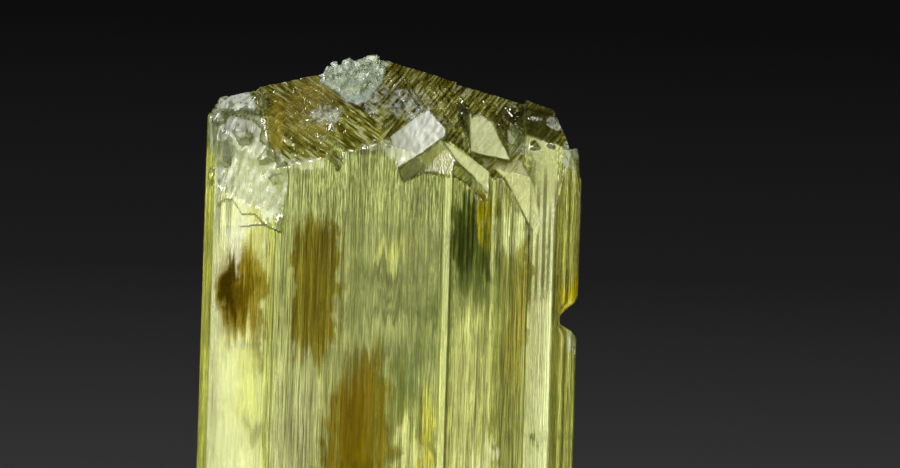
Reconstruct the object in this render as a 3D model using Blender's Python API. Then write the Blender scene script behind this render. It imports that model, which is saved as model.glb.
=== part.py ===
"""A hiddenite crystal: one upright, striated prism of yellow-green gem spodumene.

The crystal is one solid. It grew as four parallel sub-crystals side by side, each with its own
sloping roof, and the etched top carries plates, blades, terraces and a frosty crust. The prism
stands on a flat cut at Z = 0. X runs across the broad front face, -Y is the front, +Z is up.
"""

import math
import random

import bmesh
import bpy
from mathutils import Vector

MM = 0.001

# Driving dimensions
EDGE = 18.85  # half the width across the front, in millimetres
BOTTOM = 0.0
OVER_TOP = 90.0 * MM
RIB_PITCH = 0.95 * MM
RIB_DEPTH = 0.22 * MM
RIB_SEED = 11
RUN_UNDER = 0.8 * MM
SINK = 1.5 * MM

# Corners of the prism seen from above, left to right, in millimetres: front panels, then back
FRONT_CORNERS = [
    (-EDGE, 0.4), (0.3 - EDGE, 0.1), (0.25 - EDGE, -1.5), (-EDGE, -1.8), (-EDGE, -3.6),
    (-17.7, -6.5), (-12.3, -7.6), (-11.9, -7.1), (-11.45, -8.05), (-4.0, -8.2), (5.15, -8.3),
    (5.3, -8.65), (5.85, -8.65), (6.05, -8.05), (9.85, -7.95), (10.05, -8.15), (10.4, -7.6),
    (13.6, -7.15), (13.8, -6.8), (16.2, -5.9), (16.5, -5.5), (EDGE, -3.1), (EDGE, -1.5),
    (EDGE - 0.3, -1.2), (EDGE - 0.25, 0.6), (EDGE, 0.9),
]
BACK_CORNERS = [
    (-EDGE, 2.7), (-16.0, 6.3), (-9.6, 7.7), (-9.3, 7.3), (1.9, 8.1), (2.3, 7.7), (6.0, 7.8),
    (11.4, 7.2), (16.3, 5.4), (EDGE, 2.3),
]

# A roof plane is (x, y, z, rise towards +X, rise towards +Y): one point of it and its two slopes
FRONT_ROOF_MIDDLE = (-5.0, -8.2, 72.1, 0.30, 0.91)
FRONT_ROOF_RIGHT = (6.0, -8.1, 71.2, -0.30, 0.89)
LEFT_ROOFS = [
    (-13.5, -1.0, 78.4, 0.24, 0.62),
    (-13.5, -1.0, 78.4, 0.20, -0.75),
    (-18.0, 0.0, 77.0, 1.8, 0.0),
    (-15.0, -5.9, 75.2, 0.10, 3.0),
    (-13.2, 0.0, 76.4, -4.6, 0.0),
]
BACK_ROOF_MIDDLE = (-5.0, 1.25, 81.1, 0.20, -0.80)
BACK_ROOF_RIGHT = (8.0, 1.4, 79.25, -0.22, -0.85)
MIDDLE_ROOFS = [
    FRONT_ROOF_MIDDLE,
    FRONT_ROOF_RIGHT,
    BACK_ROOF_MIDDLE,
    (0.0, 1.35, 81.5, -0.25, -0.92),
    (3.0, 6.4, 75.6, 0.12, -2.2),
]
RIGHT_ROOFS = [
    (6.0, -8.1, 71.07, -0.31, 0.886),
    BACK_ROOF_RIGHT,
]
EDGE_ROOFS = [
    (15.0, -6.4, 72.6, -0.35, 0.72),
    (15.0, 0.55, 77.5, -0.30, -0.80),
    (16.2, 0.0, 76.6, -2.4, 0.0),
    (15.6, -5.5, 69.0, -0.6, 4.2),
]

# Outlines on the front, as (x, z) in millimetres
LEFT_SHEET = [
    (-17.5, 66.4), (-16.9, 66.9), (-16.0, 67.2), (-14.9, 65.7), (-13.5, 65.6), (-12.3, 64.5),
    (-10.8, 63.9), (-10.7, 65.3), (-10.4, 70.4), (-11.5, 70.7), (-11.9, 72.2), (-13.3, 73.0),
    (-13.2, 74.3), (-13.9, 75.0), (-16.4, 75.6), (-17.6, 74.2),
]
LEFT_SHEET_GROOVE = [(-14.45, 66.0), (-13.9, 66.3), (-13.8, 70.6), (-14.3, 71.3), (-14.6, 70.0)]
WHITE_FACET = [(0.36, 70.6), (5.04, 73.9), (5.2, 74.8), (3.3, 76.75), (1.3, 75.9), (-0.1, 74.3)]
WHITE_OVERHANG = [(0.5, 70.55), (5.2, 73.9), (6.0, 71.8), (5.6, 70.1), (3.0, 70.4), (1.1, 69.4)]
BRIGHT_STRIP = [
    (4.7, 73.5), (5.6, 73.6), (7.2, 72.5), (9.6, 70.7), (9.55, 68.2), (8.0, 69.9), (6.6, 71.1),
]
OLIVE_CHAMFER = [(5.9, 70.2), (6.5, 71.2), (8.0, 69.9), (9.6, 68.0), (9.2, 67.4), (7.4, 69.4)]
DARK_BLADE = [(5.0, 78.0), (6.1, 77.2), (7.0, 75.1), (6.9, 72.9), (6.1, 72.8), (5.3, 74.3)]
PALE_FACET = [
    (6.9, 76.0), (8.7, 76.4), (9.75, 75.6), (10.8, 73.6), (11.6, 71.8), (9.0, 72.1), (7.5, 72.5),
]
CURVED_FACET = [
    (9.8, 71.2), (12.6, 72.1), (14.0, 69.5), (14.5, 67.4), (14.8, 65.3), (14.3, 64.5),
    (13.4, 65.8), (12.5, 67.6), (11.0, 70.0),
]
RIM_NOTCH = [(-6.6, 71.7), (-5.9, 71.0), (-5.4, 70.2), (-5.0, 71.1), (-4.9, 72.3), (-5.8, 73.0)]
EDGE_NOTCH = [
    (20.0, 58.9), (18.6, 57.9), (17.3, 56.9), (16.95, 56.3), (17.15, 55.4), (18.05, 55.55),
    (18.5, 54.6), (20.0, 53.3),
]

# Terraces on the middle roof climb to the right; blades on the right roof fall to the right
TERRACE_ANGLE = math.radians(35)
BACK_TERRACE_ANGLE = math.radians(160)
BACK_FALL_ANGLE = math.radians(197)
TERRACE_STEP = 1.05
TERRACE_RISE = 0.42 * MM
RIM_DEPTH = 7.2 * MM
CREST_DEPTH = 1.4 * MM  # the Y of the crest line
BLADE_ANGLE = math.radians(-53)
BLADE_STEP = 1.12
BLADE_COUNT = 12
BLADE_RISE = 0.75 * MM
BLADE_SEED = 23

# Lumps are (x, y, z, half width, half depth, half height) in millimetres
CRUST = [
    (-6.9, 1.0, 80.35, 0.8, 1.3, 0.8), (-6.4, 1.3, 81.15, 0.5, 0.7, 0.5),
    (-5.8, 1.0, 80.45, 1.2, 1.8, 1.0), (-4.7, 1.2, 81.05, 1.2, 1.8, 1.0),
    (-3.6, 1.2, 81.45, 1.1, 1.7, 0.9), (-2.5, 1.2, 81.75, 0.9, 1.6, 0.8),
    (-5.1, -0.9, 79.45, 1.2, 1.0, 0.9), (-4.1, -1.7, 78.95, 1.2, 0.9, 0.9),
    (-3.1, -0.8, 79.85, 1.2, 1.1, 1.0), (-1.9, 0.3, 80.75, 0.9, 1.3, 0.8),
    (-2.2, 2.6, 80.65, 1.3, 1.3, 0.9), (-5.2, 2.9, 79.65, 1.4, 1.3, 0.9),
]
SHEET_LUMPS = [
    (-17.6, -6.0, 75.1, 0.9, 1.0, 1.1), (-16.7, -3.4, 76.0, 0.9, 1.7, 1.2),
    (-15.4, -5.0, 76.1, 1.3, 1.2, 0.9), (-14.2, -4.8, 76.4, 1.0, 1.5, 1.0),
    (-15.2, -7.1, 73.4, 1.2, 0.8, 1.0), (-16.8, -6.9, 71.6, 0.9, 0.8, 1.5),
    (-12.6, -7.6, 71.2, 1.0, 0.7, 1.1), (-11.5, -7.9, 69.4, 0.9, 0.6, 0.9),
    (-17.9, -5.6, 69.3, 0.7, 0.9, 1.2), (-13.9, -2.4, 77.6, 0.9, 1.3, 0.6),
]
VEIN_LUMPS = [
    (-7.0, -6.4, 73.6, 0.55, 0.6, 0.7), (-6.4, -5.2, 74.6, 0.5, 0.6, 0.7),
    (-5.6, -4.3, 75.6, 0.6, 0.6, 0.6), (-8.6, -4.0, 75.2, 0.8, 0.7, 0.5),
    (-7.4, -2.6, 76.8, 0.6, 0.7, 0.5),
]
EDGE_LUMPS = [
    (18.0, -1.6, 72.6, 0.75, 1.4, 0.95), (17.2, -3.4, 72.3, 0.9, 1.0, 0.8),
    (15.6, -3.9, 73.6, 0.9, 0.9, 0.8), (14.0, -4.3, 73.3, 0.9, 0.9, 0.7),
    (12.3, -3.2, 75.2, 0.9, 0.9, 0.8), (13.8, -1.6, 76.2, 1.1, 1.1, 0.7),
    (15.7, -1.0, 75.8, 0.9, 1.4, 0.8), (11.9, 0.9, 77.4, 1.1, 1.2, 0.6),
    (15.9, 2.4, 74.6, 1.2, 1.1, 0.9), (17.7, 1.5, 72.0, 0.9, 1.1, 1.0),
]
# Chips are lumps that are taken out: the foot's corners, the front below the notch, the back rim
CHIPS = [
    (-18.6, -5.0, 1.2, 2.0, 1.6, 2.6), (14.8, -7.6, 0.6, 3.0, 1.4, 2.0),
    (18.7, 3.4, 3.0, 1.2, 2.0, 3.4), (-6.0, 8.6, 0.8, 3.6, 1.3, 2.4),
    (18.75, -3.6, 54.0, 0.7, 1.0, 1.1), (-12.5, 7.8, 71.5, 1.9, 1.4, 2.2),
    (8.6, 7.9, 71.8, 2.3, 1.3, 1.7), (-19.1, 2.2, 69.6, 0.8, 1.4, 1.5),
]

# Growth plates on the hidden faces: (left x, width, foot z, top z), standing this far proud
BACK_PLATES = [(-15.2, 3.1, 6.0, 52.0), (-7.6, 2.4, 14.0, 66.0), (-3.4, 3.6, 4.0, 38.0),
               (4.0, 2.2, 20.0, 63.0), (8.4, 2.6, 9.0, 47.0)]
FRONT_PLATES = [(-9.4, 2.1, 3.0, 24.0), (-1.8, 3.0, 5.0, 31.0), (10.9, 1.7, 4.0, 29.0)]
PLATE_RISE = 0.3 * MM


def clear_scene():
    for thing in list(bpy.data.objects):
        bpy.data.objects.remove(thing, do_unlink=True)


def in_metres(points):
    """Points given in millimetres, as vectors in metres."""
    return [Vector(point) * MM for point in points]


def ribbed(corners, inward, rng):
    """The corners with shallow upright ribs cut into each panel that is wide enough to carry them."""
    points = []
    for start, end in zip(corners, corners[1:]):
        run = end - start
        count = int(run.length / RIB_PITCH)
        points.append(start)
        for rib in range(count if count > 1 else 0):
            crown = start + run * (rib + rng.uniform(0.12, 0.3)) / count
            foot = start + run * (rib + rng.uniform(0.55, 0.85)) / count
            depth = RIB_DEPTH * rng.uniform(0.25, 1.0)
            points.append(crown)
            points.append(foot + Vector((0.0, inward * depth)))
    points.append(corners[-1])
    return points


def height_at(polyline, x):
    """The Y of a left-to-right polyline at x."""
    for start, end in zip(polyline, polyline[1:]):
        if start.x <= x <= end.x and end.x > start.x:
            return start.y + (end.y - start.y) * (x - start.x) / (end.x - start.x)
    return polyline[0].y if x < polyline[0].x else polyline[-1].y


def sub_outline(front, back, left, right):
    """One sub-crystal's outline seen from above, anticlockwise.

    left and right are (x, under): a side that runs under its neighbour starts deeper, so that
    the neighbour's wall shows as a small step. None is the crystal's own outer side.
    """
    low = left[0] if left else -math.inf
    high = right[0] if right else math.inf
    fronts = [p.copy() for p in front if low < p.x < high]
    backs = [p.copy() for p in back if low < p.x < high]
    for side, at_start in ((left, True), (right, False)):
        if not side:
            continue
        x, under = side
        depth = RUN_UNDER if under else 0.0
        ends = (Vector((x, height_at(front, x) + depth)), Vector((x, height_at(back, x) - depth)))
        for line, end in zip((fronts, backs), ends):
            line.insert(0 if at_start else len(line), end)
    return fronts + backs[::-1]


def upright_prism(outline):
    """A bmesh of the outline drawn straight up from the cut foot to well above the roofs."""
    bm = bmesh.new()
    foot = bm.faces.new([bm.verts.new((p.x, p.y, BOTTOM)) for p in outline])
    drawn = bmesh.ops.extrude_face_region(bm, geom=[foot])
    top = [v for v in drawn["geom"] if isinstance(v, bmesh.types.BMVert)]
    bmesh.ops.translate(bm, verts=top, vec=(0.0, 0.0, OVER_TOP - BOTTOM))
    bmesh.ops.recalc_face_normals(bm, faces=bm.faces)
    return bm


def cut_roof(bm, roof):
    """Everything above the roof plane is cleaved away, and the cut is closed with one flat face."""
    x, y, z, rise_x, rise_y = roof
    cut = bmesh.ops.bisect_plane(
        bm,
        geom=bm.verts[:] + bm.edges[:] + bm.faces[:],
        plane_co=Vector((x, y, z)) * MM,
        plane_no=Vector((-rise_x, -rise_y, 1.0)).normalized(),
        clear_outer=True,
        dist=1e-7,
    )
    rim = [e for e in cut["geom_cut"] if isinstance(e, bmesh.types.BMEdge) and e.is_boundary]
    bmesh.ops.holes_fill(bm, edges=rim, sides=0)
    bmesh.ops.recalc_face_normals(bm, faces=bm.faces)


def finished(name, bm, collection, helper=True):
    """The bmesh as an object of the collection; a helper is only an operand and isn't rendered."""
    mesh = bpy.data.meshes.new(name)
    bm.to_mesh(mesh)
    bm.free()
    thing = bpy.data.objects.new(name, mesh)
    collection.objects.link(thing)
    if helper:
        thing.hide_render = True
        thing.display_type = "WIRE"
    return thing


def sub_crystal(name, outline, roofs, collection, helper=True):
    bm = upright_prism(outline)
    for roof in roofs:
        cut_roof(bm, roof)
    return finished(name, bm, collection, helper)


def roof_depth(roof, x, z):
    """The Y of a roof plane above the point (x, z) of the front, all in metres."""
    x0, y0, z0, rise_x, rise_y = roof
    return (y0 + (z / MM - z0 - rise_x * (x / MM - x0)) / rise_y) * MM


def plane(x, z, y, lean_x, lean_z):
    """A flat face given by one point in millimetres and by how fast it falls back across and up."""
    return lambda px, pz: y * MM + lean_x * (px - x * MM) + lean_z * (pz - z * MM)


def plate(name, outline, front, back, collection):
    """A body with its outline drawn on the front (x, z), between two flat faces given as Y(x, z)."""
    bm = bmesh.new()
    near = [bm.verts.new((p.x, front(p.x, p.y), p.y)) for p in outline]
    far = [bm.verts.new((p.x, back(p.x, p.y), p.y)) for p in outline]
    bm.faces.new(near)
    bm.faces.new(far[::-1])
    for i in range(len(outline)):
        j = (i + 1) % len(outline)
        bm.faces.new((near[i], far[i], far[j], near[j]))
    bmesh.ops.recalc_face_normals(bm, faces=bm.faces)
    return finished(name, bm, collection)


def slat(name, start, angle, length, width, roof, rise, sink, collection):
    """A sharp-edged slat lying on a roof: its upper edge stands proud, its lower edge meets the roof."""
    outward = -1.0 if roof[4] > 0.0 else 1.0
    along = Vector((math.cos(angle), math.sin(angle)))
    across = Vector((-along.y, along.x))
    tip = along * length
    outline = [
        start - across * width * 0.5, start + tip * 0.92 - across * width * 0.5,
        start + tip + across * width * 0.1, start + tip * 0.9 + across * width * 0.5,
        start + across * width * 0.5, start - along * width * 0.6,
    ]

    def proud(x, z):
        step = (Vector((x, z)) - start).dot(across) / width
        return roof_depth(roof, x, z) + outward * rise * (0.75 + step)

    def sunk(x, z):
        return roof_depth(roof, x, z) - outward * sink

    return plate(name, outline, proud, sunk, collection)


def lump(name, lump_size, rng, collection):
    """An angular pebble: the hull of points scattered over an ellipsoid."""
    x, y, z, half_x, half_y, half_z = lump_size
    bm = bmesh.new()
    for _ in range(16):
        way = Vector([rng.gauss(0.0, 1.0) for _ in range(3)]).normalized()
        reach = rng.uniform(0.85, 1.0)
        bm.verts.new(Vector((x + way.x * half_x * reach, y + way.y * half_y * reach,
                             z + way.z * half_z * reach)) * MM)
    hull = bmesh.ops.convex_hull(bm, input=bm.verts[:])
    bmesh.ops.delete(bm, geom=[g for g in hull["geom_interior"] if g.is_valid], context="VERTS")
    bmesh.ops.recalc_face_normals(bm, faces=bm.faces)
    return finished(name, bm, collection)


def add_lumps(name, lumps, seed, collection):
    rng = random.Random(seed)
    for number, size in enumerate(lumps):
        lump(f"{name}_{number}", size, rng, collection)


def add_terraces(name, corner, roof, angle, rows, seed, collection):
    """Etched terraces on a roof: broken slats in parallel rows, row by row up from a lower corner."""
    rng = random.Random(seed)
    along = Vector((math.cos(angle), math.sin(angle)))
    across = Vector((-along.y, along.x)) * math.copysign(1.0, along.x)
    outward = -math.copysign(1.0, roof[4])
    for row in range(rows):
        place = Vector(corner) + across * TERRACE_STEP * (row - 1.2) + along * rng.uniform(0, 1)
        reach = rng.uniform(8.0, 11.0) - row * 0.55
        while reach > 1.6:
            length = min(rng.uniform(1.8, 4.4), reach)
            start = (place + across * rng.uniform(-0.2, 0.2)) * MM
            width = rng.uniform(0.55, 0.95) * MM
            turn = rng.uniform(-0.07, 0.07)
            rise = TERRACE_RISE * rng.uniform(0.6, 1.2)
            sink = SINK * rng.uniform(0.7, 1.1)
            tip = start + along * length * MM
            above_rim = abs(roof_depth(roof, start.x, start.y)) < RIM_DEPTH
            below_crest = outward * (roof_depth(roof, tip.x, tip.y) - CREST_DEPTH) > 0.0
            if above_rim and below_crest:
                slat(f"{name}_{row}_{reach:.1f}", start, angle + turn, length * MM, width, roof,
                     rise, sink, collection)
            place = place + along * (length + rng.uniform(0.2, 0.6))
            reach -= length + 0.4


def add_blades(collection):
    """Stacked blades that fall to the right from the crest of the right roof."""
    rng = random.Random(BLADE_SEED)
    for number in range(BLADE_COUNT):
        x = -0.7 + number * BLADE_STEP + rng.uniform(-0.15, 0.15)
        z = 80.25 - 0.285 * (x + 0.4) + rng.uniform(-0.25, 0.15)
        length = rng.uniform(2.7, 4.6) if number > 4 else rng.uniform(4.0, 6.2)
        slat(f"blade_{number}", Vector((x, z)) * MM, BLADE_ANGLE + rng.uniform(-0.08, 0.08),
             length * MM, rng.uniform(0.75, 1.15) * MM, FRONT_ROOF_RIGHT,
             BLADE_RISE * rng.uniform(0.6, 1.15), SINK * rng.uniform(0.6, 1.0), collection)


def add_upright_plates(name, plates, outward, face_line, collection):
    """Tall growth plates with slanting tops, a little proud of a prism face."""
    for number, (left, width, foot, top) in enumerate(plates):
        right = left + width
        middle = (left + right) / 2
        outline = in_metres([(left, foot + 1.8), (middle, foot), (right, foot + 1.1), (right, top),
                             (middle - 0.3, top + 2.6), (left, top + 0.7)])
        depth = height_at(face_line, middle * MM) / MM
        lean = (height_at(face_line, right * MM) - height_at(face_line, left * MM)) / (width * MM)
        plate(f"{name}_{number}", outline,
              plane(middle, foot, depth + outward * PLATE_RISE / MM, lean, 0.0),
              plane(middle, foot, depth - outward * 1.5, lean, 0.0), collection)


def combine(target, operation, collection):
    step = target.modifiers.new(collection.name, "BOOLEAN")
    step.operation = operation
    step.solver = "EXACT"
    step.operand_type = "COLLECTION"
    step.collection = collection


def helper_collection(name):
    collection = bpy.data.collections.new(name)
    bpy.context.scene.collection.children.link(collection)
    return collection


def clear_green_material():
    material = bpy.data.materials.new("clear yellow-green spodumene")
    material.use_nodes = True
    shader = material.node_tree.nodes["Principled BSDF"]
    shader.inputs["Base Color"].default_value = (0.62, 0.64, 0.22, 1.0)
    shader.inputs["Roughness"].default_value = 0.08
    shader.inputs["Metallic"].default_value = 0.0
    shader.inputs["IOR"].default_value = 1.66
    shader.inputs["Transmission Weight"].default_value = 0.9
    return material


def build_crystal():
    rng = random.Random(RIB_SEED)
    front = ribbed(in_metres(FRONT_CORNERS), 1.0, rng)
    back = ribbed(in_metres(BACK_CORNERS), -1.0, rng)
    siblings = helper_collection("parallel sub-crystals")
    hollows = helper_collection("hollows")
    growths = helper_collection("growths")
    chips = helper_collection("chips")

    crystal = sub_crystal(
        "crystal",
        [Vector((-14.0, -5.2)) * MM] + sub_outline(front, back, (-11.5 * MM, False), (5.95 * MM, False))
        + [Vector((-14.0, 5.0)) * MM],
        MIDDLE_ROOFS, bpy.context.scene.collection, helper=False)
    sub_crystal("left_sub_crystal", sub_outline(front, back, None, (-10.9 * MM, True)),
                LEFT_ROOFS, siblings)
    sub_crystal("right_sub_crystal", sub_outline(front, back, (5.0 * MM, True), (13.7 * MM, False)),
                RIGHT_ROOFS, siblings)
    sub_crystal("edge_sub_crystal", sub_outline(front, back, (13.0 * MM, True), None),
                EDGE_ROOFS, siblings)

    outside = plane(0.0, 70.0, -12.0, 0.0, 0.0)
    plate("white_overhang", in_metres(WHITE_OVERHANG), outside, plane(3.0, 71.0, -6.3, -0.1, 0.25),
          hollows)
    plate("olive_chamfer", in_metres(OLIVE_CHAMFER), outside, plane(8.0, 69.0, -7.5, 0.05, 0.35),
          hollows)
    plate("dark_blade", in_metres(DARK_BLADE), outside, plane(6.2, 75.0, -1.7, -0.35, 0.9), hollows)
    plate("curved_facet", in_metres(CURVED_FACET), outside, plane(12.5, 69.0, -6.5, 0.16, 0.12),
          hollows)
    plate("rim_notch", in_metres(RIM_NOTCH), outside, plane(-5.6, 71.0, -7.2, 0.1, 0.45), hollows)
    plate("edge_notch", in_metres(EDGE_NOTCH), outside, plane(18.0, 56.0, 12.0, 0.0, 0.0), hollows)

    plate("left_sheet", in_metres(LEFT_SHEET), plane(-14.0, 66.0, -7.7, -0.2, 0.11),
          plane(-14.0, 66.0, -5.7, -0.1, 0.12), growths)
    plate("white_facet", in_metres(WHITE_FACET), plane(0.36, 70.6, -8.8, -0.2, 0.72),
          plane(2.5, 73.0, -4.0, 0.0, 0.9), growths)
    plate("bright_strip", in_metres(BRIGHT_STRIP), plane(7.0, 71.0, -8.6, 0.22, 0.2),
          plane(7.0, 71.0, -6.2, 0.0, 0.6), growths)
    plate("pale_facet", in_metres(PALE_FACET), plane(9.0, 72.2, -7.0, -0.12, 0.86),
          plane(9.0, 72.0, -4.4, 0.0, 1.1), growths)
    add_terraces("terrace", (-9.6, 70.9), FRONT_ROOF_MIDDLE, TERRACE_ANGLE, 9, 5, growths)
    add_terraces("back_terrace", (-1.0, 76.3), BACK_ROOF_MIDDLE, BACK_FALL_ANGLE, 5, 6, growths)
    add_terraces("back_right_terrace", (10.5, 73.8), BACK_ROOF_RIGHT, BACK_TERRACE_ANGLE, 4, 8,
                 growths)
    add_blades(growths)
    add_lumps("crust", CRUST, 31, growths)
    add_lumps("sheet_lump", SHEET_LUMPS, 32, growths)
    add_lumps("vein_lump", VEIN_LUMPS, 33, growths)
    add_lumps("edge_lump", EDGE_LUMPS, 34, growths)
    add_upright_plates("back_plate", BACK_PLATES, 1.0, in_metres(BACK_CORNERS), growths)
    add_upright_plates("front_plate", FRONT_PLATES, -1.0, in_metres(FRONT_CORNERS), growths)

    plate("sheet_groove", in_metres(LEFT_SHEET_GROOVE), outside, plane(-14.2, 68.0, -7.6, 0.0, 0.1),
          chips)
    add_lumps("chip", CHIPS, 35, chips)

    combine(crystal, "UNION", siblings)
    combine(crystal, "DIFFERENCE", hollows)
    combine(crystal, "UNION", growths)
    combine(crystal, "DIFFERENCE", chips)
    crystal.data.materials.append(clear_green_material())
    return crystal


clear_scene()
build_crystal()
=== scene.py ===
# %% [markdown]
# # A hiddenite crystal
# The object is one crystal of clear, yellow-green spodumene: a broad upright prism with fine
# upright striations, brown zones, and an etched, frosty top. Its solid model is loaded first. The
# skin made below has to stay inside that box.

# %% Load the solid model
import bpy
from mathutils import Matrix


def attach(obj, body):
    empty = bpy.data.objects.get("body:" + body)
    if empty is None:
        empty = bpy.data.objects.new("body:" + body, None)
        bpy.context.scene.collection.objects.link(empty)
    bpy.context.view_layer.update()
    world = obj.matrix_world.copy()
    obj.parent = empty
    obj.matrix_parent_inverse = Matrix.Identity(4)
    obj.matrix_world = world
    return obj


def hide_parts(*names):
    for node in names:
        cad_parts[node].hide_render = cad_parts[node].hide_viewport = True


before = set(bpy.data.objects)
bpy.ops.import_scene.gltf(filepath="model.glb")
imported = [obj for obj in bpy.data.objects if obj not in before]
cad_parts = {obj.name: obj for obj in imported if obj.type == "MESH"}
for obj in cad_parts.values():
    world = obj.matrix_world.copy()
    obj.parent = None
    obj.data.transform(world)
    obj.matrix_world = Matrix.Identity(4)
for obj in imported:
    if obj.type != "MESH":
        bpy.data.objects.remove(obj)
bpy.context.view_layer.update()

# %% [markdown]
# ## Units and helpers
# The model is in metres, and a crystal is easier to describe in millimetres, so the skin is worked
# out in millimetres and scaled once when its mesh is made. A smooth step is the usual soft
# threshold: 0 below one value, 1 above another, and a gentle curve between them.

# %% Units and helpers
import math

import bmesh
import bpy
import numpy as np
from mathutils import Matrix, Vector
from mathutils.bvhtree import BVHTree

MM = 0.001


def smooth_step(value, low, high):
    part = np.clip((value - low) / (high - low), 0.0, 1.0)
    return part * part * (3.0 - 2.0 * part)


print("a soft threshold at a quarter, half and three quarters:",
      [float(smooth_step(part, 0.0, 1.0)) for part in (0.25, 0.5, 0.75)])

# %% [markdown]
# ## Feeling the solid with rays
# The facets, blades and steps of the solid are its main form, and the skin has to keep them. The
# skin could be a copy of the solid's own triangles, but those are long and thin, and too few to
# carry striations. Rays are a better way: each one is shot at the solid from the front, the back
# or a side, and the place it hits becomes one point of an even, fine grid.

# %% Ray tree of the solid
FAR = 30.0  # rays start this far from the middle, outside the solid


def ray_tree(node):
    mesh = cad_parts[node].data
    points = [vertex.co / MM for vertex in mesh.vertices]
    faces = [tuple(polygon.vertices) for polygon in mesh.polygons]
    return BVHTree.FromPolygons(points, faces)


tree = ray_tree("crystal")


def hit(start, way, fallback):
    """The place where a ray meets the solid, or the fallback if it misses."""
    place = tree.ray_cast(Vector(start), Vector(way))[0]
    return place if place else fallback


print("the front's middle, 40 mm up:", hit((0.0, -FAR, 40.0), (0.0, 1.0, 0.0), None))

# %% [markdown]
# ## The crest line
# Seen from the front, the top of the crystal ends in a jagged line. Every column of the grid has
# to stop on it, so it is felt first. The highest corner of the solid near each column would do for
# a smooth crest, but this one has chips and crust between its corners. So rays are shot down at
# many depths in each column, and the highest place that they meet is kept.

# %% Crest line
EDGE = 18.78  # the outermost columns, just inside the widest part of the solid
FRONT_STEPS = 360
FRONT_COLUMNS = FRONT_STEPS + 1
CREST_DEPTHS = np.arange(-8.0, 7.6, 0.12)
ABOVE = 100.0

front_x = np.linspace(-EDGE, EDGE, FRONT_COLUMNS)


def crest_of(x):
    best = Vector((x, 0.0, 0.0))
    for depth in CREST_DEPTHS:
        place = tree.ray_cast(Vector((x, depth, ABOVE)), Vector((0.0, 0.0, -1.0)))[0]
        if place and place.z > best.z:
            best = place
    return best


crest = np.array([crest_of(x) for x in front_x])
print("crest height, mm:", crest[:, 2].min().round(2), "to", crest[:, 2].max().round(2))

# %% [markdown]
# ## Rows of the grid
# Rows lie close together over the etched top, where the small forms are, and further apart down
# the prism, whose forms all run upright. Even rows all the way would need three times the faces
# for the same top. A few close rows at the foot keep its cut edge sharp.

# %% Rows of the grid
TOP_ZONE = 60.0
TOP_ROWS = 104
body_rows = np.concatenate([
    [0.0, 0.25, 0.6, 1.1, 1.8, 2.7],
    np.arange(3.8, 38.0, 1.9),
    np.arange(38.4, TOP_ZONE, 0.72),
])
top_shares = np.linspace(0.0, 1.0, TOP_ROWS + 1)[1:]
ROWS = len(body_rows) + TOP_ROWS


def row_heights(crest_height):
    top = TOP_ZONE + (crest_height - TOP_ZONE) * top_shares
    return np.concatenate([body_rows, top])


print("rows:", ROWS)

# %% [markdown]
# ## How far the sides reach
# The real crystal has a notch in its right edge. Columns that all stood upright would bridge it, so
# the solid's own outline is felt from both sides, level by level, and the outer columns are bent
# in to follow it.

# %% Reach of the sides
REACH_LEVELS = np.arange(0.0, 83.0, 0.1)
REACH_DEPTHS = np.arange(-6.6, 6.7, 0.55)
BEND_FROM = 16.3
SHORTEST_BEND = 0.4
TINY = 0.02  # rays stay this far above the foot's plane and inside the outline


def reach_of(side):
    """The solid's furthest X on one side at each level, so that the notch is left open."""
    reach = []
    for level in REACH_LEVELS:
        rays = [hit((side * FAR, y, max(level, TINY)), (-side, 0.0, 0.0), Vector((0.0, 0.0, 0.0)))
                for y in REACH_DEPTHS]
        reach.append(max(side * ray.x for ray in rays))
    return np.array(reach)


reaches = {side: reach_of(side) for side in (-1, 1)}
print("right side reaches, mm:", reaches[1][:700].min().round(2), "to", reaches[1].max().round(2))


def bent(x, level):
    """Column x at this level: the outer columns bend in to follow the side's own outline."""
    side = 1 if x > 0.0 else -1
    reach = min(np.interp(level, REACH_LEVELS, reaches[side]) - TINY, EDGE)
    over = abs(x) - BEND_FROM
    if over <= 0.0 or reach < BEND_FROM + SHORTEST_BEND:
        return x
    return side * (BEND_FROM + over * (reach - BEND_FROM) / (EDGE - BEND_FROM))


# %% [markdown]
# ## The closed skin
# Each row is a ring of points: across the front, round the right side, back across the rear and
# round the left side. The last ring closes on the crest line, so that front and back meet there
# without a seam. The back has half as many columns as the front, because the photo doesn't show it.

# %% Points of the skin
SIDE_COLUMNS = 16
HALF_GAP = 0.06  # half the thickness of the skin where a ray passes just over the crest


def face_column(column, side):
    """Points up one column of the front (side -1) or the back (side +1)."""
    top = Vector(crest[column])
    points = []
    for z in row_heights(top.z)[:-1]:
        level = max(z, TINY)
        x = bent(front_x[column], level)
        missed = Vector((x, top.y + side * HALF_GAP, level))
        place = hit((x, side * FAR, level), (0.0, -side, 0.0), missed)
        points.append((x, place.y, z))
    points.append(tuple(top))
    return points


def side_columns(front_points, back_points, side):
    """Columns between the front and back edges of one side, felt by rays along X."""
    columns = []
    for step in range(1, SIDE_COLUMNS + 1):
        share = step / (SIDE_COLUMNS + 1)
        points = []
        for front_point, back_point in zip(front_points, back_points):
            y = front_point[1] + (back_point[1] - front_point[1]) * share
            level = max(front_point[2], TINY)
            here = Vector((front_point[0], y, level))
            place = hit((side * FAR, y, level), (-side, 0.0, 0.0), here)
            points.append((place.x, y, front_point[2]))
        columns.append(points)
    return columns


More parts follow.
